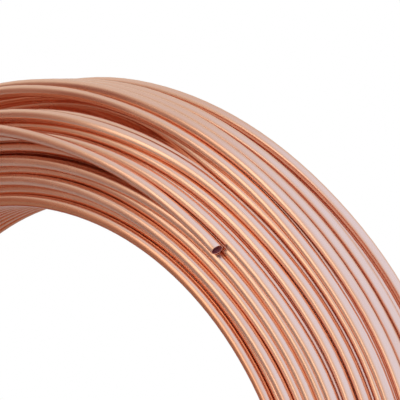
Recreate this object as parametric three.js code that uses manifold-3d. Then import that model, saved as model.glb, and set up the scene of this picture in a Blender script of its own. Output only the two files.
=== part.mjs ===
// Level-wound coil of soft copper tube, standing on its rim, with its outer free end laid over
// the front of the winding.
//
// Millimetres, +Z up. The winding's axis runs along Y, the front end of the coil faces -Y, and the
// origin is on the floor, under the middle of the coil.
//
// The winding is one length of tube. Its turns lie in layers, one outside the next, and each layer
// sits in the grooves of the one below, so every second layer is half a pitch further in at the
// ends. The outer layers step back as well, which gives the coil its sloping shoulders, and the
// last layer has a turn in every second groove only. The wound body is one turned solid whose
// section carries the turns on all four sides. The free end leaves the last turn at the back, comes
// over the other outer turns to the front, lies on the shoulder for a while, and then walks down
// the front end from layer to layer. It is swept along that path, joined to the winding and bored
// open at its cut mouth.

import * as THREE from "three";
import { mergeVertices } from "three/addons/utils/BufferGeometryUtils.js";
import Module from "manifold-3d";

// ---- driving dimensions --------------------------------------------------------------------
const tubeDiameter = 9.52; // 3/8 in soft copper tube
const tubeWall = 0.8;
const eyeRadius = 260; // clear radius inside the innermost turns
const layerCount = 12; // layers, counted outwards
const columnCount = 12; // turns side by side in the innermost layer
const turnGap = 0.48; // between two turns side by side in a layer
const shoulderLayer = 7; // from this layer on, each starts half a pitch inside the one below
const lastLayerSpacing = 2; // the last layer has a turn in every second groove

const grooveShare = 0.84; // how much of the tube's radius shows between two turns
const roundSteps = 52; // flats round the coil; a multiple of four puts one under the coil

// The free end's angles are degrees above the +X side of the coil, seen from the front.
const tailMouthAngle = 51.4;
const tailSettleAngle = 62; // from here to the mouth the free end lies in its groove
const tailDownAngle = 146; // here it starts to walk down the front end
const tailShoulderAngle = 200; // here it has come to rest on the shoulder
const tailFrontAngle = 221; // here it has crossed the outer turns
const tailOnTopAngle = 242; // here it has climbed on top of them
const tailRootAngle = 262; // here it is still the last turn
const tailOverLayer = 5; // layer whose groove the mouth lies over
const tailMouthDrop = 1.1; // the mouth's stretch is drawn in a little, towards the eye
const tailRootDepth = 1.2; // the root is sunk in the turn it grows from
const tailClearance = 0.1; // between the free end and the turns that it rests on
const tailWalkPoints = 11; // set points on its way down the front end
const tailSides = 10; // sides of its section
const tailSteps = 52;
const mouthBoreDepth = 26; // how far in the open mouth is bored

// ---- sizes worked out from them ------------------------------------------------------------
const tubeRadius = tubeDiameter / 2;
const crestWidth = tubeDiameter * Math.tan(Math.PI / 8); // one side of an octagon round the tube
const grooveDepth = grooveShare * tubeRadius;
const columnPitch = tubeDiameter + turnGap;
const layerPitch = Math.sqrt(tubeDiameter ** 2 - (columnPitch / 2) ** 2);
const innerTurnRadius = eyeRadius + tubeRadius;
const frontRow = 0; // Y of the front turns of a full layer, before the coil is centred
const backRow = frontRow + (columnCount - 1) * columnPitch;

const layerRadius = (layer) => innerTurnRadius + layer * layerPitch;
const outerRadius = layerRadius(layerCount - 1) + tubeRadius;
const degrees = (angle) => (angle * Math.PI) / 180;

// How many half pitches a layer starts inside the innermost one: none or one while the layers
// rise straight, then one more for each layer of the shoulder.
function halfPitchesIn(layer) {
  const staggered = layer % 2;
  return layer < shoulderLayer ? staggered : layer - shoulderLayer + (shoulderLayer % 2);
}

// A layer's turns, from the front end of the coil to the back, which mirrors it.
function layerRow(layer) {
  const inset = (halfPitchesIn(layer) * columnPitch) / 2;
  const spacing = layer === layerCount - 1 ? lastLayerSpacing : 1;
  const grooves = columnCount - 1 - halfPitchesIn(layer);
  return {
    first: frontRow + inset,
    pitch: spacing * columnPitch,
    turns: Math.floor(grooves / spacing) + 1,
  };
}

// ---- the winding's section -----------------------------------------------------------------
// Points are (radius, y). A turn shows a flat crest, and a groove parts it from the next turn.

// The bottom of the groove between two turns: an edge where they all but touch, or the crest of
// the layer below where they stand apart.
function grooveBottom(crest, outward, middle, pitch) {
  const gap = pitch - tubeDiameter;
  if (gap < crestWidth) return [new THREE.Vector2(crest - outward * grooveDepth, middle)];
  const below = crest - outward * layerPitch;
  return [
    new THREE.Vector2(below, middle - crestWidth / 2),
    new THREE.Vector2(below, middle + crestWidth / 2),
  ];
}

// Turns side by side on the bore or on the outside, from the front end to the back end.
function roundSide(layer, outward) {
  const row = layerRow(layer);
  const crest = layerRadius(layer) + outward * tubeRadius;
  const points = [];
  for (let turn = 0; turn < row.turns; turn += 1) {
    const middle = row.first + turn * row.pitch;
    if (turn > 0) points.push(...grooveBottom(crest, outward, middle - row.pitch / 2, row.pitch));
    points.push(new THREE.Vector2(crest, middle - crestWidth / 2));
    points.push(new THREE.Vector2(crest, middle + crestWidth / 2));
  }
  return points;
}

// The end of every layer, from the innermost to the outermost; facing is -1 in front, +1 behind.
// On the shoulder the turns touch along a slope: their crests are square to it, and a groove
// parts each one from the turn below.
function endSide(facing) {
  const slopeAlong = new THREE.Vector2(layerPitch, (-facing * columnPitch) / 2).normalize();
  const slopeOutwards = new THREE.Vector2(columnPitch / 2, facing * layerPitch).normalize();
  const points = [];
  for (let layer = 0; layer < layerCount; layer += 1) {
    const row = layerRow(layer);
    const last = row.first + (row.turns - 1) * row.pitch;
    const centre = new THREE.Vector2(layerRadius(layer), facing < 0 ? row.first : last);
    const onShoulder = layer >= shoulderLayer;
    const along = onShoulder ? slopeAlong : new THREE.Vector2(1, 0);
    const outwards = onShoulder ? slopeOutwards : new THREE.Vector2(0, facing);
    const place = (sideways, height) =>
      centre.clone().addScaledVector(along, sideways).addScaledVector(outwards, height);
    if (onShoulder) points.push(place(-tubeRadius, tubeRadius - grooveDepth));
    points.push(place(-crestWidth / 2, tubeRadius), place(crestWidth / 2, tubeRadius));
  }
  return points;
}

function windingProfile() {
  const outline = [
    ...roundSide(0, -1).reverse(),
    ...endSide(-1),
    ...roundSide(layerCount - 1, 1),
    ...endSide(1).reverse(),
  ];
  outline.push(outline[0].clone());
  return outline;
}

// The flats touch the real circle, so the coil keeps its full size across them.
function windingGeometry() {
  const flatsToCorners = 1 / Math.cos(Math.PI / roundSteps);
  const profile = windingProfile().map((p) => new THREE.Vector2(p.x * flatsToCorners, p.y));
  return new THREE.LatheGeometry(profile, roundSteps, Math.PI / roundSteps, 2 * Math.PI);
}

// ---- the free end --------------------------------------------------------------------------
const outerLayer = layerCount - 1;
const restingDistance = tubeDiameter + tailClearance; // between centres, where two tubes touch
const passOverTurn = frontRow - restingDistance;
const tailDepth = passOverTurn - tubeRadius;

// How far forward the free end lies at some distance from the axis: as far as the nearest of the
// front turns that it rests on there makes it.
function restInFront(radius) {
  const places = [];
  for (let layer = 0; layer < layerCount; layer += 1) {
    const reach = restingDistance ** 2 - (radius - layerRadius(layer)) ** 2;
    if (reach > 0) places.push(layerRow(layer).first - Math.sqrt(reach));
  }
  return Math.min(...places);
}

// The centre line as [angle, radius, y], from its root in the last turn to its mouth.
function tailStations() {
  const outer = layerRow(outerLayer);
  const lastTurn = outer.first + (outer.turns - 1) * outer.pitch;
  const onTop = layerRadius(outerLayer) + restingDistance;
  const shoulder = layerRadius(outerLayer - 1);
  const mouth = layerRadius(tailOverLayer) - tailMouthDrop;
  const stations = [
    [tailRootAngle, layerRadius(outerLayer) - tailRootDepth, lastTurn],
    [(tailRootAngle + tailOnTopAngle) / 2, onTop - tubeRadius / 2, lastTurn - columnPitch],
    [tailOnTopAngle, onTop, lastTurn - outer.pitch],
    [tailFrontAngle, onTop, outer.first],
    [(tailFrontAngle + tailShoulderAngle) / 2, layerRadius(outerLayer), outer.first - columnPitch],
    [tailShoulderAngle, shoulder, restInFront(shoulder)],
  ];
  for (let point = 0; point < tailWalkPoints; point += 1) {
    const walked = point / (tailWalkPoints - 1);
    const angle = THREE.MathUtils.lerp(tailDownAngle, tailSettleAngle, walked);
    const inwards = THREE.MathUtils.smoothstep(walked, 0, 1);
    const radius = THREE.MathUtils.lerp(shoulder, mouth, inwards);
    stations.push([angle, radius, restInFront(radius)]);
  }
  stations.push([tailMouthAngle, mouth, restInFront(mouth)]);
  return stations;
}

function tailPath() {
  const points = tailStations().map(([angle, radius, y]) => {
    const turned = degrees(angle);
    return new THREE.Vector3(radius * Math.cos(turned), y, radius * Math.sin(turned));
  });
  return new THREE.CatmullRomCurve3(points, false, "centripetal");
}

// The last stretch of the free end as a straight bore that runs a little past the cut mouth.
function mouthBorePath() {
  const path = tailPath();
  const mouth = path.getPointAt(1);
  const direction = path.getTangentAt(1);
  const inside = mouth.clone().addScaledVector(direction, -mouthBoreDepth);
  const outside = mouth.clone().addScaledVector(direction, tubeWall);
  return new THREE.LineCurve3(inside, outside);
}

function roundSection(radius) {
  const section = new THREE.Shape();
  for (let side = 0; side < tailSides; side += 1) {
    const turned = ((side + 0.5) / tailSides) * 2 * Math.PI;
    const point = [radius * Math.cos(turned), radius * Math.sin(turned)];
    if (side === 0) section.moveTo(...point);
    else section.lineTo(...point);
  }
  section.closePath();
  return section;
}

function sweptRound(radius, path, steps) {
  return new THREE.ExtrudeGeometry(roundSection(radius), { extrudePath: path, steps });
}

// ---- joining -------------------------------------------------------------------------------
const wasm = await Module();
wasm.setup();

function toSolid(geometry) {
  const bare = geometry.index ? geometry.clone() : geometry;
  bare.deleteAttribute("normal");
  bare.deleteAttribute("uv");
  const merged = mergeVertices(bare, 1e-4);
  const vertProperties = new Float32Array(merged.attributes.position.array);
  const triVerts = new Uint32Array(merged.index.array);
  return new wasm.Manifold(new wasm.Mesh({ numProp: 3, vertProperties, triVerts }));
}

function toGeometry(solid) {
  const mesh = solid.getMesh();
  const geometry = new THREE.BufferGeometry();
  geometry.setAttribute("position", new THREE.BufferAttribute(mesh.vertProperties, 3));
  geometry.setIndex(new THREE.BufferAttribute(mesh.triVerts, 1));
  geometry.computeVertexNormals();
  return geometry;
}

function coilGeometry() {
  const winding = toSolid(windingGeometry());
  const tail = toSolid(sweptRound(tubeRadius, tailPath(), tailSteps));
  const mouthBore = toSolid(sweptRound(tubeRadius - tubeWall, mouthBorePath(), 1));
  return toGeometry(winding.add(tail).subtract(mouthBore));
}

// ---- the part ------------------------------------------------------------------------------
const copper = new THREE.MeshStandardMaterial({ color: 0xd98f6c, roughness: 0.28, metalness: 1 });

const coil = new THREE.Mesh(coilGeometry(), copper);
coil.name = "tube_coil";

const middleOfWidth = (tailDepth + backRow + tubeRadius) / 2;
coil.position.set(0, -middleOfWidth, outerRadius);

const part = new THREE.Group();
part.add(coil);

export default part;
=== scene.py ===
# %% [markdown]
# # A coil of soft copper tube
#
# Soft copper tube is sold wound on itself, layer on layer, like thread on a reel. This lesson
# winds such a coil turn by turn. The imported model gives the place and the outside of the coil;
# the script fills it with real turns, which touch, wander a little and change lanes the way
# that a winding machine makes them.

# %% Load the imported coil
import math

import bmesh
import bpy
import numpy as np
from mathutils import Matrix, Vector


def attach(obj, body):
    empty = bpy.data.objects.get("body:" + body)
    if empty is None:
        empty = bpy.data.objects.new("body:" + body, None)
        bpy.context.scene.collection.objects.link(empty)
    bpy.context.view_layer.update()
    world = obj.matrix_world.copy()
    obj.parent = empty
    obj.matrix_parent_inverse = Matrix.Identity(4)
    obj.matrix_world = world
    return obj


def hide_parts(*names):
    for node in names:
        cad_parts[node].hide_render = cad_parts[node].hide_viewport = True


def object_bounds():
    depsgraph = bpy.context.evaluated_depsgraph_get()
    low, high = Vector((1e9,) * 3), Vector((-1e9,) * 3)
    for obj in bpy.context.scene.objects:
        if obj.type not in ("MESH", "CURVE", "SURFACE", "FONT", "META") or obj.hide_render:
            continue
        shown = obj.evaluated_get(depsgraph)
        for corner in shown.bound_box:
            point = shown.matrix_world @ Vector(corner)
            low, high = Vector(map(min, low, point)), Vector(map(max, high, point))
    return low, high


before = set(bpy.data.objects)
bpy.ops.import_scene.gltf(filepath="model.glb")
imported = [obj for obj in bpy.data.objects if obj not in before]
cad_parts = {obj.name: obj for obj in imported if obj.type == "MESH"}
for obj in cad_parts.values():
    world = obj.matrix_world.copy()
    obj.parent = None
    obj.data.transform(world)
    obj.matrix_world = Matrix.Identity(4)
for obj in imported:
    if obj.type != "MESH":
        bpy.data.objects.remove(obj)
cad_low, cad_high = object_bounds()
print("the coil is", [round(side, 4) for side in cad_high - cad_low], "m")

# %% [markdown]
# ## The camera comes first
#
# A long lens from a couple of metres away keeps the turns nearly parallel. The coil stands with
# its axis along Y, and the camera looks at its front end from the right. It could be aimed by a
# constraint or a rotation matrix. Two angles, its heading and its dip, are easier to read.

# %% Camera
camera_place = Vector((1.2657, -1.4473, 0.7573))
camera_heading = 38.14  # degrees to the left of the coil's axis
camera_dip = 4.06  # degrees below level
lens_length = 222.0  # mm, on a sensor 36 mm wide

camera = bpy.data.objects.new("camera", bpy.data.cameras.new("camera"))
bpy.context.scene.collection.objects.link(camera)
camera.location = camera_place
camera.rotation_euler = (math.radians(90 - camera_dip), 0, math.radians(camera_heading))
camera.data.lens = lens_length
camera.data.sensor_width = 36
camera.data.clip_end = 60
bpy.context.scene.camera = camera
bpy.context.scene.view_settings.view_transform = "Standard"
print("camera at", [round(place, 3) for place in camera_place])

# %% [markdown]
# ## Where the turns lie
#
# Every layer sits in the grooves of the one below, so two layers are less than a diameter apart.
# A "lane" is one of the places side by side in a layer. Layers are counted outwards from the
# eye, lanes from the front end of the coil to the back. The turns could be set down one by one,
# but a rule that starts from the tube's own diameter seats each of them on its neighbours.

# %% Sizes of the tube and the winding
tube_diameter = 0.00952
tube_wall = 0.0008
turn_gap = 0.00048
layer_count = 12
lane_count = 12
shoulder_layer = 7  # from here on, each layer starts half a pitch inside the one below
loose_spacing = 2  # the last layer has a turn in every second groove

tube_radius = tube_diameter / 2
pitch = tube_diameter + turn_gap
layer_pitch = math.sqrt(tube_diameter**2 - (pitch / 2) ** 2)
last_layer = layer_count - 1
coil_height = (cad_low.z + cad_high.z) / 2
last_layer_radius = (cad_high.x - cad_low.x) / 2 - tube_radius
front_row = cad_high.y - tube_radius - (lane_count - 1) * pitch


def half_pitches_in(layer):
    """How many half pitches a layer starts behind the innermost one."""
    if layer < shoulder_layer:
        return layer % 2
    return layer - shoulder_layer + shoulder_layer % 2


def spacing_in(layer):
    """How many grooves a layer has for each of its turns."""
    return loose_spacing if layer == last_layer else 1


def lanes_in(layer):
    """How many turns lie side by side in a layer."""
    return (lane_count - 1 - half_pitches_in(layer)) // spacing_in(layer) + 1


def seat(layer, lane):
    """The lane's distance from the axis, and its place along Y."""
    radius = last_layer_radius - (last_layer - layer) * layer_pitch
    return radius, front_row + (half_pitches_in(layer) / 2 + lane * spacing_in(layer)) * pitch


turn_count = sum(lanes_in(layer) for layer in range(layer_count))
print(turn_count, "turns; the eye is", round(2 * (seat(0, 0)[0] - tube_radius), 4), "m across")

# %% [markdown]
# ## How a turn wanders
#
# No turn of a real coil is a perfect circle: one slips, and its neighbours follow it or fill the
# space that it leaves. Noise would make them all wander alike. So where the front of the coil is
# seen best, each turn has a few set points: at this angle it lies this much further out and this
# much further back than its lane. Angles are read on the front end, from +X up towards +Z.

# %% Wander of the turns that show best, in millimetres (outwards, back)
wander = {
    (1, 0): {75: (0, 0.5), 45: (0, 0.5)},
    (2, 0): {
        91: (-0.8, 0), 81: (-1, -1), 61: (-2, -1.5), 50: (-1.9, -1.5), 40: (-1, -1.2),
        30: (-0.2, 0),
    },
    (3, 0): {
        90: (-0.8, 0.5), 78: (-1.2, 0.5), 66: (-1.7, -1.5), 58: (-1.7, -2), 50: (-1.6, -2.6),
        42: (-1.2, -1.8), 34: (-0.3, 0),
    },
    (4, 0): {
        91: (-2.7, 0), 76: (-3.1, 0), 67: (-2, 0), 61: (-0.9, 0), 50: (-0.6, 0), 40: (0.1, 1.5),
        30: (0.5, 3.8),
    },
    (5, 0): {
        95: (0.2, 1.5), 77: (-0.9, 1.2), 63: (0, 0), 51: (-0.5, -1), 41: (-0.3, 0),
        30: (1, 1.5),
    },
    (6, 0): {
        86: (0.9, 0), 71: (0, 0), 60: (-1, 0), 50: (-1.6, 0.7), 40: (-0.7, 2.4),
        30: (0.9, 5.1),
    },
    (7, 0): {
        82: (-0.2, 2), 71: (-0.6, 3.6), 61: (-1.1, 4.5), 46: (0, 4.5), 41: (0.6, 5.2),
        30: (2.2, 6.9),
    },
    (8, 0): {
        115: (0, 0), 100: (0.5, -7), 92: (0.4, -9), 81: (0.6, -9), 76: (0.6, -7), 72: (0.6, -4),
        62: (0.5, 1.1), 51: (0.3, 2), 41: (0.9, 5.4), 30: (1.6, 8.5),
    },
    (9, 0): {
        100: (0, 32), 90: (0, 32), 83: (0, 26), 74: (0, 16), 66: (-0.3, 8), 58: (-0.8, 4.8),
        50: (-0.2, 6.5), 42: (0.5, 8), 34: (1.5, 9.5), 30: (2, 11),
    },
    (10, 0): {
        99: (4.5, 8.5), 94: (2.3, 8.5), 86: (0.6, 8.5), 78: (0, 0), 73: (0.2, 0), 63: (-0.2, -1.3),
        47: (-0.2, -1.4), 41: (0, -0.3), 36: (0.4, 1), 29: (1, 3),
    },
    (11, 0): {
        98: (-0.6, 11), 88: (-2.2, 11), 79: (-0.5, 0), 70: (0, -1.5), 60: (0.4, -2.5),
        50: (0.4, -0.8), 40: (0.2, 3), 30: (0, 7),
    },
    (11, 1): {
        98: (-0.5, 2), 88: (-2.1, 2), 78: (-0.5, -4), 60: (0, -8.5), 50: (0, -6),
        35: (0, -1.6),
    },
    (11, 2): {
        98: (-1, -8), 90: (-2, -8), 80: (0, -10.4), 60: (0, -11), 50: (0, -9.6),
        35: (0, -7.2),
    },
    (11, 3): {
        96: (-2.8, -3), 92: (-1.2, -3.2), 87: (0, -3.4), 60: (0, -7), 50: (0, -7),
        40: (0, -4.2),
    },
}
for lane in range(1, lanes_in(10)):  # the last full layer moves back with its first turn
    wander[(10, lane)] = {100: (-1.5, 8.5), 86: (-1.5, 8.5), 78: (0, 0)}
for layer in range(2, 10):  # in the layers under it, the turn behind the first gives way
    wander[(layer, 1)] = {
        angle: (out, max(back, 0)) for angle, (out, back) in wander[(layer, 0)].items()
    }
wander_starts, wander_ends = 150, -20  # outside these angles a turn keeps to its lane
print(len(wander), "turns wander")

# %% [markdown]
# ## From lane to lane
#
# A winding machine holds the tube in one lane for most of a turn and then moves it over to the
# next within a hand's breadth or two, always on the same side of the coil. At the end of a layer
# the tube climbs onto it instead and starts back the other way. A plain spiral would be simpler,
# but its turns would lie at a slant all the way round. So a route is a list of lanes, and
# between two of them the tube crosses over. Seen from the front it runs clockwise, with falling
# angles.

# %% Where the tube leaves a lane and where it wanders
full_turn = 360  # degrees
lane_begins = 205  # degrees: the crossings lie just before this angle
climb_span = (320, 342)  # degrees travelled in a lane when the tube climbs to the next layer
shift_span = (334, 360)  # when it moves over beside itself
loose_span = (318, 360)  # and when it does so in the loose last layer


def crossing(lane, following):
    """How far the tube has come in its lane when it leaves it, and when it is in the next."""
    if lane[0] != following[0]:
        return climb_span
    return loose_span if lane[0] == last_layer else shift_span


def wander_points(lane, begins):
    """The lane's set points as (travelled, radius, y), with its lane before and after them."""
    radius, y = seat(*lane)
    points = wander.get(lane, {})
    if not points:
        return []
    spread = {wander_starts: (0, 0), **points, wander_ends: (0, 0)}
    return [
        (begins + lane_begins - angle, radius + out / 1000, y + back / 1000)
        for angle, (out, back) in spread.items()
    ]


print("a climb takes", climb_span[1] - climb_span[0], "degrees of a turn")

# %% [markdown]
# A stiff tube has no corners. A curve's handles could round them, but the tube needs stations at
# even steps anyway. So the steps come first, and then each station is set to the average of those
# near it, where the nearest count most.

# %% Evening out
bend_stations = 7  # the stretch over which the tube evens out a corner


def evened(values):
    """Smooths a run of numbers as a stiff tube would, and keeps its two ends."""
    weights = np.hanning(bend_stations + 2)[1:-1]
    half = bend_stations // 2
    before = 2 * values[0] - values[half:0:-1]
    after = 2 * values[-1] - values[-2 : -half - 2 : -1]
    padded = np.concatenate((before, values, after))
    return np.convolve(padded, weights / weights.sum(), "valid")


corner = np.array([0, 0, 0, 0, 1, 2, 3, 4], dtype=float)
print("a corner evened out:", evened(corner).round(2))

# %% A route through the lanes
stations_per_turn = 160


def route_through(lanes, tail=()):
    """Stations along the tube as rows of (angle, radius, y); the tail's places are in mm."""
    corners = []
    for turn, lane in enumerate(lanes):
        begins = full_turn * turn
        corners.append((begins, *seat(*lane)))
        corners += wander_points(lane, begins)
        if turn < len(lanes) - 1:
            leaves, arrives = crossing(lane, lanes[turn + 1])
            corners.append((begins + leaves, *seat(*lane)))
            corners.append((begins + arrives, *seat(*lanes[turn + 1])))
        else:
            corners.append((begins + loose_span[0], *seat(*lane)))
    corners += [
        (full_turn * len(lanes) + lane_begins - angle, radius / 1000, front_row + back / 1000)
        for angle, radius, back in tail
    ]
    travelled, radius, y = np.array(corners).T
    steps = round((travelled[-1] - travelled[0]) / full_turn * stations_per_turn)
    stations = np.linspace(travelled[0], travelled[-1], steps + 1)
    return np.column_stack(
        (
            np.radians(lane_begins - stations),
            evened(np.interp(stations, travelled, radius)),
            evened(np.interp(stations, travelled, y)),
        )
    )


print(len(route_through([(0, 0)])), "stations in a single turn")

# %% [markdown]
# ## Bending straight tube
#
# Tube leaves the drawing bench straight. So does this one: it is a straight tube of stations
# along Z, made by the cone operator with both radii alike and cut across by a subdivision. Then
# every ring of it is carried to its station on the route. A curve with a round profile would be
# shorter to write. But here each vertex also remembers where it lay in the straight tube, in an
# attribute called "stock", which the finish reads for its drawing lines: across the tube in x
# and y, along it in z.

# %% A tube bent to a route
tube_sides = 20


def centre_line(route):
    """The places of a route's stations."""
    angle, radius, y = route.T
    return np.column_stack((radius * np.cos(angle), y, coil_height + radius * np.sin(angle)))


def station_frames(route):
    """Each station's place, the direction outwards from the axis, and the one across the tube."""
    line = centre_line(route)
    ahead = np.gradient(line, axis=0)
    ahead /= np.linalg.norm(ahead, axis=1, keepdims=True)
    outward = np.column_stack((np.cos(route[:, 0]), np.zeros(len(route)), np.sin(route[:, 0])))
    outward -= ahead * (outward * ahead).sum(1, keepdims=True)
    outward /= np.linalg.norm(outward, axis=1, keepdims=True)
    return line, outward, np.cross(ahead, outward)


def bent_tube(route):
    """A bmesh of the tube along the route, with plain caps."""
    tube = bmesh.new()
    bmesh.ops.create_cone(
        tube,
        cap_ends=True,
        segments=tube_sides,
        radius1=tube_radius,
        radius2=tube_radius,
        depth=1,  # from z = -0.5 to z = 0.5
    )
    lengthwise = [e for e in tube.edges if abs(e.verts[0].co.z - e.verts[1].co.z) > 0.5]
    bmesh.ops.subdivide_edges(tube, edges=lengthwise, cuts=len(route) - 2)
    line, outward, across = station_frames(route)
    lengths = np.linalg.norm(np.diff(line, axis=0), axis=1)
    along = np.concatenate(([0], np.cumsum(lengths)))
    stock = tube.verts.layers.float_vector.new("stock")
    for vertex in tube.verts:
        station = round((vertex.co.z + 0.5) * (len(route) - 1))
        x, y = vertex.co.x, vertex.co.y
        vertex[stock] = (x, y, along[station])
        vertex.co = line[station] + x * outward[station] + y * across[station]
    tube.normal_update()
    return tube


side_length = 2 * tube_radius * math.sin(math.pi / tube_sides)
print("a tube has", tube_sides, "sides of", round(1000 * side_length, 2), "mm")

# %% [markdown]
# Many routes make one piece, so their tubes are gathered in a single mesh. Every face is shaded
# smooth, and only an edge with a real corner, as round a hidden plain cap, stays sharp.

# %% Gathering tubes into a piece
sharp_corner = math.radians(40)


def piece_from(name, tubes):
    """One piece made of the tubes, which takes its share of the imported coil's place."""
    gathered = bmesh.new()
    gathered.verts.layers.float_vector.new("stock")
    for tube in tubes:
        part = bpy.data.meshes.new("part")
        tube.to_mesh(part)
        tube.free()
        gathered.from_mesh(part)
        bpy.data.meshes.remove(part)
    for edge in gathered.edges:
        edge.smooth = edge.calc_face_angle(0) < sharp_corner
    for face in gathered.faces:
        face.smooth = True
    mesh = bpy.data.meshes.new(name)
    gathered.to_mesh(mesh)
    gathered.free()
    piece = bpy.data.objects.new(name, mesh)
    bpy.context.scene.collection.objects.link(piece)
    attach(piece, "root")
    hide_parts("tube_coil")
    triangles = sum(len(face.vertices) - 2 for face in mesh.polygons)
    print(name, triangles, "triangles")
    return piece


print("corners above", round(math.degrees(sharp_corner)), "degrees stay sharp")

# %% [markdown]
# ## A cut mouth
#
# The coil shows both ends of its tube. A tube cutter leaves a flat face, a wall 0.8 mm thick
# round a dark bore. The tube could be hollow all the way, but that is twice the mesh for two
# small holes. Instead, the plain cap at its end is drawn in by the wall, and then pushed back
# along the route a station at a time, so that the bore bends with the tube. A narrow bevel takes
# the sharpness off both rims. The faces of the cut and of the bore note which material they
# take, because the cut is fresh metal and the bore is not.

# %% Open the mouth
bore_stations = 4
rim_softness = 0.00012
in_bore, on_cut = 1, 2  # their places in the list of materials, after the bright copper


def open_mouth(tube, line, lean=0.0, about=(0, 1, 0)):
    """Opens the tube at the end of its centre line; the cut leans by an angle about an axis."""
    caps = [face for face in tube.faces if len(face.verts) == tube_sides]
    cap = min(caps, key=lambda face: (face.calc_center_median() - Vector(line[-1])).length)
    leaning = Matrix.Rotation(lean, 3, Vector(about))
    bmesh.ops.rotate(tube, cent=Vector(line[-1]), matrix=leaning, verts=cap.verts)
    outer_rim = list(cap.edges)
    wall_faces = bmesh.ops.inset_region(tube, faces=[cap], thickness=tube_wall)["faces"]
    for face in wall_faces:
        face.material_index = on_cut
    inner_rim = list(cap.edges)
    for station in range(1, bore_stations + 1):
        cap.material_index = in_bore
        pushed = bmesh.ops.extrude_discrete_faces(tube, faces=[cap])["faces"]
        cap = pushed[0]
        step = Vector(line[-1 - station] - line[-station])
        bmesh.ops.translate(tube, vec=step, verts=cap.verts)
    bmesh.ops.bevel(
        tube,
        geom=outer_rim + inner_rim,
        offset=rim_softness,
        segments=2,
        profile=0.5,
        affect="EDGES",
        material=-1,
    )


print("the bore is", round(1000 * (tube_diameter - 2 * tube_wall), 2), "mm across")

# %% [markdown]
# ## The eye
#
# The tube starts at the back of the innermost layer and works its way to the front. There it
# climbs onto the second layer and turns back. Rings side by side would be quicker, but the one
# tube that changes lanes is what tells a coil from a stack of rings. Two hidden lanes at the end
# of the route keep its plain cap out of sight.

# %% Turns round the eye
bore_lanes = [(0, lane) for lane in reversed(range(lane_count))] + [(1, 0), (1, 1)]
bore_route = route_through(bore_lanes)
bore_tube = bent_tube(bore_route)
open_mouth(bore_tube, centre_line(bore_route)[::-1])
bore_turns = piece_from("bore_turns", [bore_tube])

# %% [markdown]
# ## The two ends of the coil
#
# On the front end the layers follow each other in pairs: the tube comes forward through one,
# climbs, and goes back through the next. At the back the pairs fall the other way. The layers
# could be wound from end to end, but nobody can look into the middle of them. Only one lane
# behind the end lane is wound as well, because it shows wherever the end lane wanders off.

# %% Turns on the front end
front_routes = [
    [(layer, 1), (layer, 0), (layer + 1, 0), (layer + 1, 1)] for layer in range(2, 9, 2)
]
front_tubes = [bent_tube(route_through(lanes)) for lanes in front_routes]
front_turns = piece_from("front_turns", front_tubes)

# %% Turns on the back end
back_routes = []
for layer in range(1, 8, 2):
    last, last_above = lanes_in(layer) - 1, lanes_in(layer + 1) - 1
    there = [(layer, last - 1), (layer, last)]
    and_back = [(layer + 1, last_above), (layer + 1, last_above - 1)]
    back_routes.append(there + and_back)
back_tubes = [bent_tube(route_through(lanes)) for lanes in back_routes]
back_turns = piece_from("back_turns", back_tubes)

# %% [markdown]
# ## The outside and the free end
#
# The last full layer runs from the back to the front, and the loose one above it goes back in
# every second groove. From the last of its turns the tube comes over the others to the front
# once more, runs down the shoulder and lies tucked against the front end. That free end isn't
# wound by the machine but laid by hand, so its route is a list of places given one by one.

# %% The free end's route: angle, distance from the axis and place behind the front row, in mm
free_end_places = [
    (262, 353.9, 85),
    (250, 361.5, 75),
    (240, 363.4, 58),
    (228, 363.4, 38),
    (219, 362.0, 23),
    (211, 354.5, 14),
    (200, 346.0, 10),
    (150, 345.8, 10),
    (138, 344.0, 8),
    (130, 341.5, 5.5),
    (120, 336.5, 2.5),
    (112, 331.5, -1.5),
    (104, 326.1, -6.0),
    (98, 322.0, -8.3),
    (94, 319.2, -9.2),
    (90.5, 316.7, -9.4),
    (87, 314.5, -9.5),
    (83, 312.4, -9.5),
    (80, 311.2, -9.1),
    (76, 309.5, -8.3),
    (72, 308.4, -7.8),
    (68, 306.9, -7.0),
    (65, 306.2, -6.7),
    (60, 304.7, -6.7),
    (55, 304.2, -6.7),
    (51.5, 304.2, -6.7),
]
outer_lanes = [(9, lanes_in(9) - 2), (9, lanes_in(9) - 1)]
outer_lanes += [(10, lane) for lane in reversed(range(lanes_in(10)))]
outer_lanes += [(11, lane) for lane in range(lanes_in(11))]
outer_route = route_through(outer_lanes, free_end_places)
free_end_degrees = free_end_places[0][0] - free_end_places[-1][0]
free_from = len(outer_route) - round(free_end_degrees / full_turn * stations_per_turn)
free_route = outer_route[free_from:]
print(len(free_route), "stations on the free end")

# %% Turns on the outside
outer_turns = piece_from("outer_turns", [bent_tube(outer_route[: free_from + 1])])

# %% [markdown]
# A cutter held by hand seldom goes through dead square. This cut leans by twelve degrees, turned
# a little down and away from the coil. The end could be sliced off at that slant, but turning the
# cap before the mouth is opened keeps its wall even.

# %% The free end
cut_lean = math.radians(-12)

free_tube = bent_tube(free_route)
free_line, outward, across = station_frames(free_route)
cut_hinge = 0.85 * outward[-1] + 0.52 * across[-1]  # the cap is turned about this line
open_mouth(free_tube, free_line, cut_lean, cut_hinge)
free_end = piece_from("free_end", [free_tube])

# %% [markdown]
# ## The core
#
# Under the turns that show lie some sixty more that never do. They could be wound too, at twice
# the weight. One plain turned body stands for them: its outline runs through the middles of the
# turns just under the surface, so it closes every gap and comes out nowhere. One turn near the
# outside has slipped back at the top of the coil and left a dark slot, so the outline stands
# back there too.

# %% The hidden turns as one turned body
core_steps = 120
core_lane = 1  # the outline runs one lane in from either end
slipped_layer, slipped_lane = 9, 3  # and further in where the slot opens

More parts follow.
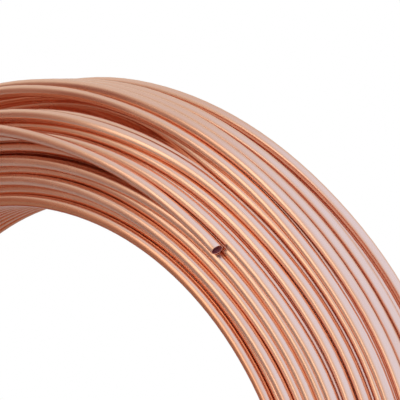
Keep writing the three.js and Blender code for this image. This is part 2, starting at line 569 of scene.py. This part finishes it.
core_outline = [
    seat(layer, slipped_lane if layer == slipped_layer else core_lane)
    for layer in range(last_layer)
]
core_outline += [
    seat(layer, lanes_in(layer) - 1 - core_lane) for layer in reversed(range(last_layer))
]
core = bmesh.new()
core_corners = [core.verts.new((radius, y, coil_height)) for radius, y in core_outline]
core_edges = [
    core.edges.new(pair) for pair in zip(core_corners, core_corners[1:] + core_corners[:1])
]
bmesh.ops.spin(
    core,
    geom=core_corners + core_edges,
    axis=(0, 1, 0),
    cent=(0, 0, coil_height),
    angle=2 * math.pi,
    steps=core_steps,
    use_merge=True,
    use_duplicate=False,
)
bmesh.ops.remove_doubles(core, verts=core.verts, dist=1e-6)
bmesh.ops.recalc_face_normals(core, faces=core.faces)
core_turns = piece_from("core_turns", [core])

# %% [markdown]
# ## Nodes written as sums
#
# A material is a web of nodes. Written out one by one they bury the idea, so a small class wraps
# a node's output and gives it the plain signs: an expression such as 0.2 + 0.07 * lines adds the
# Math nodes by itself. Every other node comes from one method, which takes the node's type, its
# settings, and what goes into its sockets.

# %% A value that can stand in a sum
class Value:
    """A node's output that can stand in a sum."""

    def __init__(self, wiring, socket):
        self.wiring, self.socket = wiring, socket

    def _math(self, operation, first, second):
        return self.wiring.node("ShaderNodeMath", {"operation": operation}, {0: first, 1: second})

    def __add__(self, other):
        return self._math("ADD", self, other)

    def __mul__(self, other):
        return self._math("MULTIPLY", self, other)

    __radd__, __rmul__ = __add__, __mul__


print("a value can be added to and multiplied with numbers and other values")


# %% The wiring of a material or of the world
class Wiring:
    """A web of nodes under construction, round the shader that it feeds."""

    def __init__(self, owner, shader):
        self.owner = owner
        self.owner.use_nodes = True
        self.tree = owner.node_tree
        self.shader = self.tree.nodes[shader]

    def node(self, kind, settings=None, sockets=None, output=0):
        """Makes a node of any kind, and hands back one of its outputs."""
        made = self.tree.nodes.new(kind)
        for setting, value in (settings or {}).items():
            setattr(made, setting, value)
        for socket, value in (sockets or {}).items():
            self.feed(made.inputs[socket], value)
        return Value(self, made.outputs[output])

    def vector(self, operation, first, second=(0, 0, 0), output=0):
        """A Vector Math node; its output 1 is a plain number, such as a length."""
        sockets = {0: first, 1: second}
        return self.node("ShaderNodeVectorMath", {"operation": operation}, sockets, output)

    def feed(self, socket, value):
        """Links a value to a socket, or sets the socket to a number or a colour."""
        if isinstance(value, Value):
            self.tree.links.new(value.socket, socket)
        else:
            socket.default_value = value

    def set(self, **sockets):
        """Feeds the shader's own sockets, by their names."""
        for name, value in sockets.items():
            self.feed(self.shader.inputs[name.replace("_", " ")], value)


print("a wiring makes nodes and feeds a shader")


# %% Noise, stretching and tints
def noise(wiring, places, size, detail=2.0):
    """Even noise between 0 and 1, with features about this large in metres."""
    sizes = size if isinstance(size, tuple) else (size,) * 3
    scaled = wiring.vector("DIVIDE", places, sizes)
    sockets = {"Vector": scaled, "Scale": 1.0, "Detail": detail}
    return wiring.node("ShaderNodeTexNoise", None, sockets)


def stretched(wiring, value, low, high, blend="LINEAR"):
    """Spreads a value out, so that low becomes 0 and high becomes 1."""
    return wiring.node(
        "ShaderNodeMapRange",
        {"interpolation_type": blend},
        {"Value": value, "From Min": low, "From Max": high},
    )


def tint(wiring, amount, first, second):
    """A colour between two: the first where the amount is 0, the second where it is 1."""
    return wiring.node(
        "ShaderNodeMix", {"data_type": "RGBA"}, {0: amount, 6: first, 7: second}, output=2
    )


print("noise, stretched and tint are ready")

# %% [markdown]
# ## Drawn copper
#
# Soft tube has the bright skin that the drawing die leaves, with scratches and faint ridges that
# run along the tube for a hand's breadth or more and are a millimetre across or less. Painted
# lines would repeat. Here they are noise on the "stock" attribute, squeezed across the tube and
# drawn out along it, so they follow every bend. The annealed skin also has a soft haze and
# patches of darker tarnish where the tube was handled. In the eye the colour is painted deeper
# and redder, as a painted reflection: it stands in for the glow of copper mirrored in copper deep
# in the eye. A thin coat stands for the film of drawing oil. All of it is plain metal, so apart
# from that painted reflection the colour is the colour of the reflections.

# %% The places that the finish reads
copper = Wiring(bpy.data.materials.new("drawn_copper"), "Principled BSDF")
in_stock = copper.node("ShaderNodeAttribute", {"attribute_name": "stock"}, output=1)
in_coil = copper.node("ShaderNodeTexCoord", output=3)
from_middle = copper.vector("SUBTRACT", in_coil, (0, 0, coil_height))
from_axis = copper.vector("LENGTH", copper.vector("MULTIPLY", from_middle, (1, 0, 1)), output=1)
innermost = seat(0, 0)[0]
# Between these two reaches from the axis the colour is painted deeper: a painted reflection in the
# eye.
eye_reflection_band = innermost + 0.0037, innermost - 0.0023  # m from the axis: the colour deepens between
print("the eye's skin lies", [round(1000 * reach, 1) for reach in eye_reflection_band], "mm from the axis")

# %% Lines, haze, tarnish and the painted reflection in the eye
die_lines = noise(copper, in_stock, (0.0011, 0.0011, 0.3), detail=3)
fine_lines = noise(copper, in_stock, (0.0004, 0.0004, 0.09))
haze = stretched(copper, noise(copper, in_coil, 0.03), low=0.45, high=0.7)
tarnish_size = (0.006, 0.006, 0.12)
tarnish = stretched(copper, noise(copper, in_stock, tarnish_size), low=0.5, high=0.75)
eye_reflection_mask = stretched(copper, from_axis, *eye_reflection_band)
print("a patch of tarnish is some", round(1000 * tarnish_size[2]), "mm long")

# %% Drawn copper
clean_skin = (0.9, 0.52, 0.35, 1)
tarnished_skin = (0.82, 0.42, 0.26, 1)
# painted reflection: this deeper, redder copper is laid on in the eye for copper mirrored in
# copper
painted_eye_reflection = (0.8, 0.3, 0.13, 1)
handled = tint(copper, 0.6 * tarnish, clean_skin, tarnished_skin)
relief = copper.node(
    "ShaderNodeBump",
    None,
    {"Height": die_lines + 0.4 * fine_lines, "Strength": 0.35, "Distance": 0.00006},
)
copper.set(
    Base_Color=tint(copper, eye_reflection_mask, handled, painted_eye_reflection),
    Metallic=1.0,
    Roughness=0.2 + 0.07 * fine_lines + 0.05 * haze,
    Coat_Weight=0.15,
    Coat_Roughness=0.12,
    Normal=relief,
)
print(copper.owner.name, "has", len(copper.tree.nodes), "nodes")

# %% [markdown]
# ## Bore and cut
#
# Inside the tube the bore is a dull dark brown-red, which isn't metal to look at. It is partly the
# oxide that the anneal leaves and partly painted shade: the modelled bore is short and closed by a
# cap, so its dark colour stands in for the shade deep in the tube. The cut itself is fresh: paler
# than the skin, and rough from the cutter's wheel. The drawn copper could serve for both with a
# mask, but two plain materials are easier to read.

# %% The bore's oxide and painted shade
# painted shade, partly oxide: these dark reds also stand for the shade deep in the bore
dark_oxide_and_shade = (0.26, 0.035, 0.035, 1)
red_oxide_and_shade = (0.4, 0.08, 0.06, 1)

oxide_and_shade = Wiring(bpy.data.materials.new("bore_oxide_and_shade"), "Principled BSDF")
in_mouth = oxide_and_shade.node("ShaderNodeTexCoord", output=3)
patches = stretched(oxide_and_shade, noise(oxide_and_shade, in_mouth, 0.002), low=0.4, high=0.7)
oxide_and_shade.set(Base_Color=tint(oxide_and_shade, patches, dark_oxide_and_shade, red_oxide_and_shade), Roughness=0.6)
print(oxide_and_shade.owner.name, "has", len(oxide_and_shade.tree.nodes), "nodes")

# %% The fresh cut
pale_metal = (0.95, 0.66, 0.52, 1)
scored_metal = (0.85, 0.5, 0.38, 1)

fresh_cut = Wiring(bpy.data.materials.new("fresh_cut"), "Principled BSDF")
wheel_marks = noise(fresh_cut, fresh_cut.node("ShaderNodeTexCoord", output=3), 0.0004)
fresh_cut.set(
    Base_Color=tint(fresh_cut, wheel_marks, pale_metal, scored_metal),
    Metallic=1.0,
    Roughness=0.45 + 0.1 * wheel_marks,
)
print(fresh_cut.owner.name, "has", len(fresh_cut.tree.nodes), "nodes")

# %% Each piece gets its finish
for piece in (bore_turns, front_turns, back_turns, outer_turns, free_end, core_turns):
    piece.data.materials.append(copper.owner)
for finish in (oxide_and_shade, fresh_cut):
    for piece in (bore_turns, free_end):  # the two pieces with a cut end
        piece.data.materials.append(finish.owner)
print("the free end has", ", ".join(material.name for material in free_end.data.materials))

# %% [markdown]
# ## The light
#
# Metal shows what stands round it, so the studio is made for its reflections: a pale tent on
# every side with a cooler roof, white paper straight behind the coil, and a wide cool window to
# the right. They could be walls and lamps, which would stand in the way of a camera that goes
# round the coil. So all are the world's own colour, laid on by direction, and every ray sees
# them alike. The paper is just wide enough to fill the camera's view. Any wider, and the turns'
# lower flanks would catch its edge as a hard white line.

# %% Directions in the studio
pale_tent = (0.75, 0.735, 0.695, 1)
cool_roof = (0.72, 0.8, 0.92, 1)
cool_window = (0.82, 1.12, 1.65, 1)
white_paper = (1, 1, 1, 1)

studio = Wiring(bpy.data.worlds.new("studio"), "Background")
bpy.context.scene.world = studio.owner


def towards(azimuth, elevation):
    """A direction by its angle from the front towards the right, and its angle above level."""
    azimuth, elevation = math.radians(azimuth), math.radians(elevation)
    level = math.cos(elevation)
    return math.sin(azimuth) * level, -math.cos(azimuth) * level, math.sin(elevation)


def glow(direction, begins, full):
    """0 where the cosine of the angle to a direction is "begins" or less, 1 where it is "full"."""
    facing = studio.vector("DOT_PRODUCT", studio.node("ShaderNodeTexCoord"), direction, output=1)
    return stretched(studio, facing, begins, full, "SMOOTHSTEP")


behind_coil = towards(camera_heading - 180, -camera_dip)
print("the paper is centred on", [round(part, 2) for part in behind_coil])

# %% The tent, its roof, the window and the paper
overhead = glow(towards(0, 90), begins=0.55, full=0.95)
to_the_right = glow(towards(85, 28), begins=0.0, full=0.8)
on_the_paper = glow(behind_coil, begins=0.985, full=0.993)
sky = tint(studio, overhead, pale_tent, cool_roof)
sky = tint(studio, to_the_right, sky, cool_window)
studio.set(Color=tint(studio, on_the_paper, sky, white_paper), Strength=1.0)
print(studio.owner.name, "has", len(studio.tree.nodes), "nodes")

# %% [markdown]
# ## Floor, cloth and lamp
#
# The floor carries the coil and its shadow. On the left, out of view, hangs a russet cloth that
# gives the turns their deep flanks. The world could be darker on that side, but then so would
# the view from there. A hard edge on the cloth would show in every turn as a two-tone band, so
# it thins out from its middle, through Alpha. In front stands a tall narrow lamp, faintly warm,
# which draws one bright line along each turn. The camera sees neither of them; the coil does.

# %% Sheets and stands
middle = Vector((0, 0, coil_height))


def sheet(name, sides, colour):
    """A matt rectangular sheet, and the wiring of its material."""
    outline = bmesh.new()
    bmesh.ops.create_grid(outline, x_segments=1, y_segments=1, size=0.5)
    bmesh.ops.scale(outline, vec=(*sides, 1), verts=outline.verts)
    laid = bpy.data.objects.new(name, bpy.data.meshes.new(name))
    outline.to_mesh(laid.data)
    outline.free()
    bpy.context.scene.collection.objects.link(laid)
    surface = Wiring(bpy.data.materials.new(name), "Principled BSDF")
    surface.set(Base_Color=colour, Roughness=0.9)
    laid.data.materials.append(surface.owner)
    return laid, surface


def stand(thing, distance, azimuth, height, faces="Z"):
    """Sets a thing up beside the coil, unseen by the camera, and faces it to the coil's middle."""
    azimuth = math.radians(azimuth)
    place = Vector((math.sin(azimuth) * distance, -math.cos(azimuth) * distance, height))
    thing.location = place
    thing.rotation_euler = (middle - place).to_track_quat(faces, "Y").to_euler()
    thing.visible_camera = False


print("the coil's middle is", round(middle.z, 3), "m up")

# %% Floor and cloth
cloth_thins = 0.3, 1.25  # m from its middle: where it starts to thin out, and where it's gone

sheet("floor", sides=(4, 4), colour=(0.58, 0.49, 0.43, 1))
cloth, weave = sheet("russet_cloth", sides=(2.6, 2.6), colour=(0.45, 0.18, 0.11, 1))
from_centre = weave.vector("LENGTH", weave.node("ShaderNodeTexCoord", output=3), output=1)
weave.set(Alpha=stretched(weave, from_centre, cloth_thins[1], cloth_thins[0], "SMOOTHSTEP"))
stand(cloth, distance=1.3, azimuth=-58, height=0.75)
print("the cloth hangs at", [round(place, 2) for place in cloth.location])

# %% A tall lamp in front
lamp = bpy.data.objects.new("tall_lamp", bpy.data.lights.new("tall_lamp", "AREA"))
lamp.data.shape = "RECTANGLE"
lamp.data.size, lamp.data.size_y = 0.55, 1.3
lamp.data.energy = 2.2
lamp.data.color = (1, 0.95, 0.86)
bpy.context.scene.collection.objects.link(lamp)
stand(lamp, distance=1.6, azimuth=-12, height=1.0, faces="-Z")
print("the lamp stands at", [round(place, 2) for place in lamp.location])

# %% [markdown]
# ## Deep grooves need many bounces
#
# Between two bright tubes the light goes to and fro many times, and it gets redder at each
# bounce. That is where the glow in the grooves comes from. A ray that is given up early leaves
# a black speck instead. A redder colour could hide the specks, but not the lack of glow, so the
# glossy bounces are raised.

# %% Bounces
bpy.context.scene.cycles.glossy_bounces = 10
bpy.context.scene.cycles.max_bounces = 16
print("glossy bounces:", bpy.context.scene.cycles.glossy_bounces)
